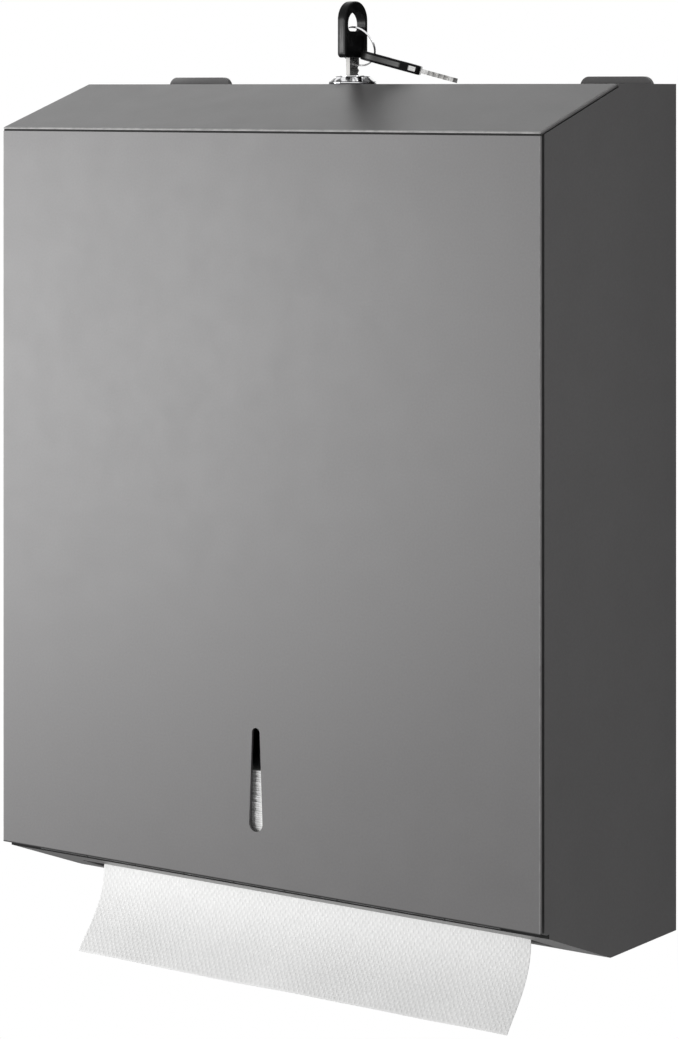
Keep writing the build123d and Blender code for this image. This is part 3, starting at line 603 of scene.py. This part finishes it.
def softRubber(look):
    # matt black with a pale bloom in clouds and a fine-pored skin
    constants = {"Metallic": 0.0, "Specular IOR Level": 0.3}
    made, tree, shader, where = startMaterial("bumperRubber", constants)
    pores = noise(tree, where, look["pores"], 3.0, 0.7)
    bloom = noise(tree, where, look["blooms"], 4.0, 0.6)
    base = tint(tree, spread(tree, bloom, 0.4, 0.75, 0.0, 1.0), look["deep"], look["bloom"])
    rough = spread(tree, pores, 0.3, 0.7, *look["gloss"])
    feed(tree, shader, base, rough, bumped(tree, pores, *look["pit"]))
    return made


towelPaper = {
    "shade": (0.86, 0.86, 0.855, 1.0),
    "white": (0.95, 0.95, 0.945, 1.0),
    "dotAcross": 0.0026,        # distance between the embossed dots of a row
    "dotDown": 0.0017,          # distance between rows
    "dotDrift": 0.00030,        # how far a dot strays from its place
    "dot": (0.75, 0.00010),     # strength and depth
    "strays": 260.0, "fibres": 1500.0, "strands": 240.0,    # spots to the metre
    "shares": (0.45, 0.55, 0.14),       # of fibres, strands and dots in the tone
    "gloss": (0.82, 0.95),
    "fluff": (0.25, 0.00012),   # strength and depth
}


def embossedPaper(name, look, useFlat):
    # the dots are the tops of two crossed sine waves, which stand in a diamond grid;
    # the fibres are a short-range noise with longer strands over it
    made, tree, shader, where = startMaterial(name, {"Metallic": 0.0, "Specular IOR Level": 0.18})
    spot = put(tree, "ShaderNodeUVMap", uv_map="flat") if useFlat else where
    across, down, _ = axes(tree, spot)
    stray = noise(tree, where, look["strays"], 2.0)
    stray = spread(tree, stray, 0.3, 0.7, -look["dotDrift"], look["dotDrift"])
    turnA = calc(tree, "MULTIPLY", calc(tree, "ADD", across, stray), 2 * math.pi / look["dotAcross"])
    turnB = calc(tree, "MULTIPLY", calc(tree, "SUBTRACT", down, stray), math.pi / look["dotDown"])
    crossed = calc(tree, "MULTIPLY", calc(tree, "SINE", turnA), calc(tree, "SINE", turnB))
    dots = spread(tree, crossed, 0.0, 0.85, 0.0, 1.0, smooth=True)
    fibre = noise(tree, where, look["fibres"], 4.0, 0.7)
    strand = noise(tree, where, look["strands"], 5.0, 0.65, 1.2)
    tone = blend(tree, *zip((fibre, strand, dots), look["shares"]))
    base = tint(tree, spread(tree, tone, 0.32, 0.72, 0.0, 1.0), look["shade"], look["white"])
    rough = spread(tree, fibre, 0.3, 0.7, *look["gloss"])
    fluff = bumped(tree, tone, *look["fluff"])
    feed(tree, shader, base, rough, bumped(tree, dots, *look["dot"], fluff))
    return made


paint = satinPaint(casePaint)
zinc = zincPlate(plating)
blackZinc = zincPlate(hingePlating)
chrome = lockChrome(bright)
flange = lockChrome(flangeChrome)
nickel = nickelBlade(keySteel)
plastic = mouldedPlastic(bowPlastic)
rubber = softRubber(bumperRubber)
tailPaper = embossedPaper("tailPaper", towelPaper, True)
stackPaper = embossedPaper("stackPaper", towelPaper, False)

finishes = {
    "back_panel": paint, "left_side_panel": paint, "right_side_panel": paint,
    "top_panel": paint, "bottom_panel": paint, "front_door": paint,
    "hinge_door_leaf": blackZinc, "hinge_fixed_leaf": blackZinc, "hinge_pin": blackZinc,
    "lock_washer": zinc, "lock_nut": zinc, "lock_strike": zinc, "strike_rivets": zinc,
    "lock_cam": zinc, "cam_washer": zinc, "cam_screw": zinc,
    "lock_housing": flange, "lock_plug": chrome, "key_ring": chrome,
    "key_blade": nickel, "spare_key_blade": nickel,
    "key_bow": plastic, "spare_key_bow": plastic,
    "door_bumpers": rubber,
    "towel_stack": stackPaper, "towel_tail": tailPaper,
}
for part, finish in finishes.items():
    slots = nodes[part].material_slots
    for slot in slots:
        slot.material = finish
    if not slots:
        nodes[part].data.materials.append(finish)
print("finishes on", len(finishes), "parts")


# the towel that hangs out of the slot

tailHigh = partBox("towel_tail")[1]
solidHalf = 0.0003              # half the thickness of the frame's own tail
hangingTowel = {
    "halfWidth": tailHigh[0],
    "top": (tailHigh[1] - solidHalf, tailHigh[2] - solidHalf),      # y and z of its end, in the slit
    # places down the towel, and how far forward of straight down it points at each, in degrees
    "lengths": (0.0, 0.046, 0.052, 0.060, 0.068, 0.076, 0.084, 0.094),
    "leans": (0.0, 0.0, -1.9, 9.8, 23.8, 35.0, 40.0, 38.3),
    "hidden": 0.050,            # length inside the stack
    "thickness": 0.00014,
    "ripple": 0.0006,
    "growth": 1.5,              # power by which the ripples grow towards the free edge
    # each ripple's turn per metre across and down, its start, and its share
    "waves": ((62.0, 0.0, 0.8, 0.55), (128.0, 60.0, 2.1, 0.3), (27.0, 0.0, -0.4, 0.6)),
    "rim": 0.00008,             # width of the last column at each side
    "across": 150, "along": 112, "steps": 1201,
}


def towelSheet(look):
    # the line is the running sum of short steps whose lean goes evenly from place to place; at each
    # point of it the strip lies across x, moved along its own normal by a sum of sine ripples that
    # grow to the free edge
    length = look["lengths"][-1]
    fine = np.linspace(0, length, look["steps"])
    lean = np.radians(np.interp(fine, look["lengths"], look["leans"]))
    step = np.diff(fine, prepend=0.0)
    s = np.linspace(0, length, look["along"])[:, None]
    y = np.interp(s, fine, look["top"][0] - np.cumsum(np.sin(lean) * step))
    z = np.interp(s, fine, look["top"][1] - np.cumsum(np.cos(lean) * step))
    turn = np.interp(s, fine, lean)
    half = look["halfWidth"]
    columns = np.linspace(-half + look["rim"], half - look["rim"], look["across"] - 2)
    x = np.concatenate([[-half], columns, [half]])[None, :]
    grow = np.clip((s - look["hidden"]) / (length - look["hidden"]), 0, 1) ** look["growth"]
    wave = sum(np.sin(x * wide + s * tall + start) * share for wide, tall, start, share in look["waves"])
    lift = look["ripple"] * grow * wave
    front = np.stack([x + 0 * s, y - np.cos(turn) * lift, z + np.sin(turn) * lift], axis=-1)
    normal = np.stack([0 * x + 0 * s, -np.cos(turn) + 0 * x, np.sin(turn) + 0 * x], axis=-1)
    outer = front + normal * look["thickness"] / 2
    inner = front - normal * look["thickness"] / 2
    rings = np.concatenate([outer, inner[:, ::-1]], axis=1)[None]
    flat = np.stack([x + half + 0 * s, s + 0 * x], axis=-1)
    flatUv = np.concatenate([flat, flat[:, ::-1]], axis=1)
    return rings, flatUv, length


rings, flatUv, tailLength = towelSheet(hangingTowel)
towelTail = carriedMesh("hangingTowel", rings, tailPaper, flatUv)
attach(towelTail, "towel")
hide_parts("towel_tail")
print("hanging towel:", len(towelTail.data.polygons), "faces")


# the folded towels behind the door

stackLow, stackHigh = partBox("towel_stack")
stackSlide = 0.0073             # the towels above the hinge lie this far forward
slitHalf = 0.0006               # half the width of the slit round the hanging towel
foldedTowels = {
    "layers": 52,
    "halfWidth": stackHigh[0],
    "front": stackLow[1] + stackSlide, "back": stackHigh[1],
    "slid": stackSlide, "slidFrom": 20,
    "top": stackHigh[2],
    # y and z under the lowest towel
    "low": ((stackLow[1] + stackSlide, -0.1597), (-0.0590, -0.1699), (stackHigh[1], stackLow[2])),
    "corner": 0.0006,           # how softly the lowest towel bends between these places
    "slack": (0.0005, 0.0015, 0.00077),     # how far towels stand in at the front, back and ends
    "wander": (0.0001, 9.0),    # depth of the front folds' wave, and its turn over half the width
    # the layers' wave: its height, turn over half the width, turn per metre inwards, and start
    "wave": (0.0005, 4.2, 30.0, 0.7),
    "bulge": 0.75,              # how far a fold stands out, as a share of its half height
    "half": 0.49,               # half height of a fold, as a share of the layers' pitch
    "fill": 0.48,               # the same, for the layer itself
    "slit": (hangingTowel["top"][0] - slitHalf, hangingTowel["top"][0] + slitHalf),
    "slitLayers": 46,           # so many of the lower towels part for the one that hangs out
    "across": 16, "deep": 14, "fold": 5, "seed": 7,
}


def towelLayers(look):
    # a layer's ring runs along its underside, round the back fold, along its top and round the front
    # fold; heights go in equal shares from the sloping lowest towel to the level highest one; a layer
    # with the slit is two such rings, one that ends in front of it and one that starts behind it
    rng = np.random.default_rng(look["seed"])
    count = look["layers"]
    (y0, z0), (y1, z1), (y2, z2) = look["low"]
    along = 0.5 - 0.5 * np.cos(np.linspace(0, np.pi, look["deep"]))
    bend = np.linspace(-np.pi / 2, np.pi / 2, look["fold"] + 2)[1:-1]
    reach = np.concatenate([along, np.ones(look["fold"]), along[::-1], np.zeros(look["fold"])])
    bulge = np.concatenate([0 * along, np.cos(bend), 0 * along, -np.cos(bend)])
    side = np.concatenate([0 * along - 1, np.sin(bend), 0 * along + 1, -np.sin(bend)])
    cut = look["slitLayers"]
    layer = np.concatenate([np.arange(cut), np.arange(cut), np.arange(cut, count)])[:, None, None]
    place = np.repeat(["before", "behind", "whole"], [cut, cut, count - cut])[:, None, None]
    x = np.linspace(-1, 1, look["across"])[None, :, None]
    inFront, inBack, inEnds = (rng.uniform(0, most, count)[layer] for most in look["slack"])
    phase = rng.uniform(0, 2 * np.pi, count)[layer]
    half = look["half"] * (look["top"] - z0) / count
    stand = half * look["bulge"]
    slid = look["slid"] * (layer >= look["slidFrom"])
    depth, rate = look["wander"]
    frontY = look["front"] - slid + stand + inFront + depth * (1 + np.sin(rate * x + phase))
    backY = look["back"] - slid - half - inBack
    frontY = np.where(place == "behind", look["slit"][1] + stand, frontY)
    backY = np.where(place == "before", look["slit"][0] - stand, backY)
    y = frontY + (backY - frontY) * reach + stand * bulge
    lineA = z0 + (y - y0) * (z1 - z0) / (y1 - y0)
    lineB = z1 + (y - y1) * (z2 - z1) / (y2 - y1)
    low = np.logaddexp(lineA / look["corner"], lineB / look["corner"]) * look["corner"]
    share = (layer + 0.5 + look["fill"] * side) / count
    z = low + (look["top"] - low) * share
    tall, wide, deep, start = look["wave"]
    swell = np.sin(np.pi * np.clip(share, 0, 1)) * tall * np.sin(wide * x + deep * y + start)
    z = np.minimum(z + swell, look["top"])
    ends = (look["halfWidth"] - inEnds) * x
    return np.stack([ends + 0 * y, y, z], axis=-1)


towelStack = carriedMesh("foldedTowels", towelLayers(foldedTowels), stackPaper)
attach(towelStack, "cabinet")
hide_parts("towel_stack")
print("folded towels:", len(towelStack.data.polygons), "faces")


# split ring through both keys

ringLow, ringHigh = partBox("key_ring")
plainWire = 0.0005              # half the thickness of the frame's own ring
splitRing = {
    "centre": (ringLow + ringHigh) / 2,
    "radius": (ringHigh[0] - ringLow[0]) / 2 - plainWire,
    "lean": 25.0,               # degrees that the ring leans back from upright
    "joint": 205.0,             # degrees round the ring where the wire steps across
    "gap": 0.10,                # half the stepping length, in radians
    "pair": 0.00025,            # each turn's distance from the ring's middle plane
    "wire": (0.00031, 0.00024),     # half thickness of the wire, radially and across
    "sections": 300, "around": 14,
}


def ringWire(look):
    # an oval wire carried twice round a circle, stepping from one side of its plane to the other
    # half way along
    lean = math.radians(look["lean"])
    east = np.array([1.0, 0.0, 0.0])
    down = np.array([0.0, math.sin(lean), -math.cos(lean)])
    axis = np.cross(east, down)
    turn = np.linspace(look["gap"], 4 * np.pi - look["gap"], look["sections"])
    step = np.clip((turn - 2 * np.pi) / (2 * look["gap"]) + 0.5, 0, 1)
    aside = look["pair"] * (2 * step * step * (3 - 2 * step) - 1)
    angle = turn + math.radians(look["joint"])
    outward = np.cos(angle)[:, None] * east + np.sin(angle)[:, None] * down
    line = look["centre"] + outward * look["radius"] + aside[:, None] * axis
    bend = np.linspace(0, 2 * np.pi, look["around"] + 1)[:-1] + np.pi / look["around"]
    return (line[:, None] + outward[:, None] * np.cos(bend)[None, :, None] * look["wire"][0]
            + axis * np.sin(bend)[None, :, None] * look["wire"][1])[None]


ring = carriedMesh("splitRing", ringWire(splitRing), chrome)
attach(ring, "ring")
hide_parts("key_ring")
print("split ring:", len(ring.data.polygons), "faces")


# thin steel bands along the edges of the two bows, coloured with painted highlights and painted shade
# along each bow

bowCore = {
    "halfWidth": 0.0084, "crown": 0.0082, "foot": 0.0022,
    "halfThick": 0.0010,
    "proud": 0.00004, "sunk": 0.0003,       # how far the band stands out of the plastic and goes in
    "straight": 24, "arc": 30,
}
coreKeys = {
    "keyCore": {
        "body": "key", "height": 0.0246,
        "turn": 180.0, "lift": 90.0,        # degrees round z, and up from level, that the bow points
        "anchor": joints["lock_turn"]["pos_m"],
        "bowFoot": 0.0115,                  # how far up the key the bow starts from the anchor
        "stops": (0.0, 0.006, 0.012, 0.018, 0.0246),        # heights up the bow, and the painted light level at each
        "tones": (0.030, 0.042, 0.030, 0.016, 0.005),
    },
    "spareCore": {
        "body": "spare_key", "height": 0.0270,
        "turn": 211.0, "lift": 15.28,
        "anchor": joints["spare_key_swing"]["pos_m"],
        "bowFoot": -0.0214,
        "stops": (0.0, 0.0050, 0.0056, 0.0090, 0.0100, 0.020),
        "tones": (1.0, 0.9, 0.01, 0.01, 0.22, 0.10),
    },
}
edgeLightSteel = {
    "dark": (0.003, 0.003, 0.0032, 1.0),
    "light": (0.80, 0.80, 0.79, 1.0),
    "drawn": (5200.0, 160.0, 1.0),      # lines to the metre across and along the bow
    "streak": (0.55, 1.15),             # tone in the dark and the bright lines
    "gloss": (0.42, 0.28),
    "lines": (0.1, 0.00003),            # strength and depth
}


def paintedLightSteel(name, look, key):
    # steel coloured from bright to dark along the bow as painted highlights and painted shade, with fine
    # lines drawn along it
    made, tree, shader, _ = startMaterial(name, bareMetal)
    flat = put(tree, "ShaderNodeUVMap", uv_map="flat")
    height = axes(tree, flat)[1]
    stops, tones = key["stops"], key["tones"]
    # painted highlights and shade: the tone goes from stop to stop along the bow
    tone = spread(tree, height, stops[0], stops[1], tones[0], tones[1])
    for k in range(1, len(stops) - 1):
        further = spread(tree, height, stops[k], stops[k + 1], 0.0, tones[k + 1] - tones[k])
        tone = calc(tree, "ADD", tone, further)
    lines = noise(tree, mapped(tree, flat, look["drawn"]), 1.0, 2.0)
    tone = calc(tree, "MULTIPLY", tone, spread(tree, lines, 0.3, 0.7, *look["streak"]))
    base = tint(tree, tone, look["dark"], look["light"])
    rough = spread(tree, lines, 0.3, 0.7, *look["gloss"])
    feed(tree, shader, base, rough, bumped(tree, lines, *look["lines"]))
    return made


def coreBand(look, key):
    # half of the path goes up a straight side and round a quarter circle to the crown, and the
    # other half mirrors it; at each point a thin flat bar stands across the path, a little proud
    # of the plastic
    half, crown, height = look["halfWidth"], look["crown"], key["height"]
    rise = np.linspace(look["foot"], height - crown, look["straight"])
    bend = np.linspace(0, np.pi / 2, look["arc"] + 1)[1:]
    sideX = np.concatenate([np.full(len(rise), half), half - crown + crown * np.cos(bend)])
    sideY = np.concatenate([rise, height - crown + crown * np.sin(bend)])
    outX = np.concatenate([np.ones(len(rise)), np.cos(bend)])
    outY = np.concatenate([np.zeros(len(rise)), np.sin(bend)])
    px, py = np.concatenate([-sideX, sideX[::-1]]), np.concatenate([sideY, sideY[::-1]])
    nx, ny = np.concatenate([-outX, outX[::-1]]), np.concatenate([outY, outY[::-1]])
    turn, lift = math.radians(key["turn"]), math.radians(key["lift"])
    across = np.array([math.sin(turn), -math.cos(turn), 0.0])
    level = np.array([math.cos(turn), math.sin(turn), 0.0])
    up = math.cos(lift) * level + math.sin(lift) * np.array([0.0, 0.0, 1.0])
    aside = np.cross(across, up)
    out = np.array([look["proud"], look["proud"], -look["sunk"], -look["sunk"]])
    wide = np.array([-1, 1, 1, -1]) * look["halfThick"]
    x = px[:, None] + nx[:, None] * out
    y = py[:, None] + ny[:, None] * out
    thick = wide + 0 * x
    rings = x[..., None] * across + y[..., None] * up + thick[..., None] * aside
    flatUv = np.stack([thick, y], axis=-1)
    return (rings + np.array(key["anchor"]) + key["bowFoot"] * up)[None], flatUv


for name, key in coreKeys.items():
    coreRings, coreUv = coreBand(bowCore, key)
    steel = paintedLightSteel(name + "Steel", edgeLightSteel, key)
    core = carriedMesh(name, coreRings, steel, coreUv, rounded=False)
    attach(core, key["body"])
    print(name + ":", len(core.data.polygons), "faces")
